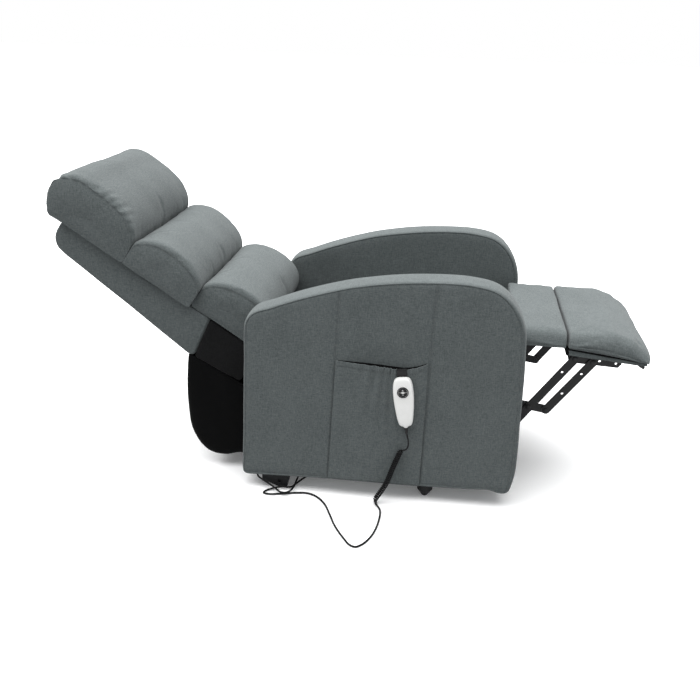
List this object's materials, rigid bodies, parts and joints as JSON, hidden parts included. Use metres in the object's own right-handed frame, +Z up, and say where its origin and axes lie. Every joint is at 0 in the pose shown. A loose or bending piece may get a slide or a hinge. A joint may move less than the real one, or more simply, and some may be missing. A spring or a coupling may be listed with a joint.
{
  "type": "lift recliner chair",
  "caption": "Electric riser recliner armchair laid back with its footrest out, three-roll stuffed back, side pocket with corded handset, steel footrest linkage and tilting floor frame.",
  "frame": {"origin": "on the floor, under the middle of the chair's box with its free cords left out, in the rest pose: reclined with the footrest out", "axes": "+Z up; +Y towards the back of the chair, so it faces -Y; -X is the side of the sitter's right arm, which has the pocket and handset"},
  "size_m": [0.9674, 1.7009, 0.8617],
  "materials": {
    "fabric": "matte",
    "black_fabric": "matte",
    "black_steel": "satin",
    "zinc_steel": "satin",
    "wood": "matte",
    "white_plastic": "satin",
    "black_plastic": "matte",
    "cord": "matte"
  },
  "bodies": {
    "base": {"base_frame": "black_steel", "lift_shaft": "zinc_steel", "foot_front_L": "black_plastic", "foot_front_R": "black_plastic", "glide_front_L": "black_plastic", "glide_front_R": "black_plastic", "foot_rear_L": "black_steel", "foot_rear_R": "black_steel", "glide_rear_L": "black_plastic", "glide_rear_R": "black_plastic", "floor_lead": "cord", "rear_lead": "cord"},
    "chassis": {"side_plate_L": "black_steel", "side_plate_R": "black_steel", "side_rail_L": "wood", "side_rail_R": "wood", "front_rail": "wood", "rear_rail": "wood", "motor_bar": "zinc_steel", "seat_spring_1": "zinc_steel", "seat_spring_2": "zinc_steel", "seat_spring_3": "zinc_steel", "seat_cushion": "fabric", "seat_rear_pad": "black_fabric", "arm_L": "fabric", "arm_R": "fabric", "side_pocket": "fabric", "handset_case": "white_plastic", "keypad_ring": "black_plastic", "handset_hook": "black_plastic", "handset_gland": "black_plastic", "handset_lead": "cord", "handset_coil": "cord", "control_box": "black_plastic", "dust_cover": "black_fabric"},
    "back": {"back_shell": "fabric", "back_lower": "black_fabric", "roll_head": "fabric", "roll_mid": "fabric", "roll_low": "fabric", "back_bracket_L": "black_steel", "back_bracket_R": "black_steel"},
    "rear_links": {"link_rear_L": "black_steel", "link_rear_R": "black_steel", "torque_tube": "black_steel"},
    "front_links": {"link_front_L": "black_steel", "link_front_R": "black_steel"},
    "outer_links": {"link_outer_L": "black_steel", "link_outer_R": "black_steel"},
    "inner_links": {"link_inner_L": "black_steel", "link_inner_R": "black_steel"},
    "footrest": {"footrest_bracket_L": "black_steel", "footrest_bracket_R": "black_steel", "footrest_board": "fabric", "footrest_pad": "fabric"},
    "front_pad": {"front_pad": "fabric"},
    "motor": {"motor_housing": "black_plastic"},
    "rod": {"motor_rod": "zinc_steel"},
    "up_key": {"button_up": "black_plastic"},
    "down_key": {"button_down": "black_plastic"}
  },
  "joints": [
    {"name": "lift", "type": "hinge", "parent": "base", "child": "chassis", "pos_m": [0, -0.44545, 0.065], "axis": [1, 0, 0], "range_deg": [0, 28]},
    {"name": "recline", "type": "hinge", "parent": "chassis", "child": "back", "pos_m": [0, 0.20455, 0.345], "axis": [1, 0, 0], "range_deg": [0, 44]},
    {"name": "footrest_fold", "type": "hinge", "parent": "chassis", "child": "rear_links", "pos_m": [0, -0.37445, 0.279], "axis": [1, 0, 0], "range_deg": [0, 82]},
    {"name": "front_link_fold", "type": "hinge", "parent": "chassis", "child": "front_links", "pos_m": [0, -0.34725, 0.237], "axis": [1, 0, 0], "range_deg": [0, 82]},
    {"name": "outer_link_fold", "type": "hinge", "parent": "rear_links", "child": "outer_links", "pos_m": [0, -0.53095, 0.257], "axis": [1, 0, 0], "range_deg": [-82, 0]},
    {"name": "inner_link_fold", "type": "hinge", "parent": "rear_links", "child": "inner_links", "pos_m": [0, -0.58045, 0.25], "axis": [1, 0, 0], "range_deg": [-82, 0]},
    {"name": "footrest_turn", "type": "hinge", "parent": "outer_links", "child": "footrest", "pos_m": [0, -0.64495, 0.411], "axis": [1, 0, 0], "range_deg": [0, 82]},
    {"name": "front_pad_fold", "type": "hinge", "parent": "chassis", "child": "front_pad", "pos_m": [0, -0.47045, 0.45], "axis": [1, 0, 0], "range_deg": [0, 75]},
    {"name": "motor_swing", "type": "hinge", "parent": "base", "child": "motor", "pos_m": [0, -0.20045, 0.05], "axis": [1, 0, 0], "range_deg": [0, 14.5]},
    {"name": "motor_stroke", "type": "slide", "parent": "motor", "child": "rod", "axis": [0, -0.4286, 0.9035], "range_m": [0, 0.1]},
    {"name": "up_key_press", "type": "slide", "parent": "chassis", "child": "up_key", "axis": [1, 0, 0], "range_m": [0, 0.001], "stiffness_N_per_m": 600, "springref_m": -0.0005},
    {"name": "down_key_press", "type": "slide", "parent": "chassis", "child": "down_key", "axis": [1, 0, 0], "range_m": [0, 0.001], "stiffness_N_per_m": 600, "springref_m": -0.0005}
  ],
  "couplings": [
    {"joint": "front_link_fold", "follows": "footrest_fold", "ratio": 1},
    {"joint": "outer_link_fold", "follows": "footrest_fold", "ratio": -1},
    {"joint": "inner_link_fold", "follows": "footrest_fold", "ratio": -1},
    {"joint": "footrest_turn", "follows": "footrest_fold", "ratio": 1},
    {"joint": "front_pad_fold", "follows": "footrest_fold", "ratio": 0.91},
    {"joint": "motor_swing", "follows": "lift", "ratio": 0.501},
    {"joint": "motor_stroke", "follows": "lift", "m_per_rad": 0.202}
  ]
}
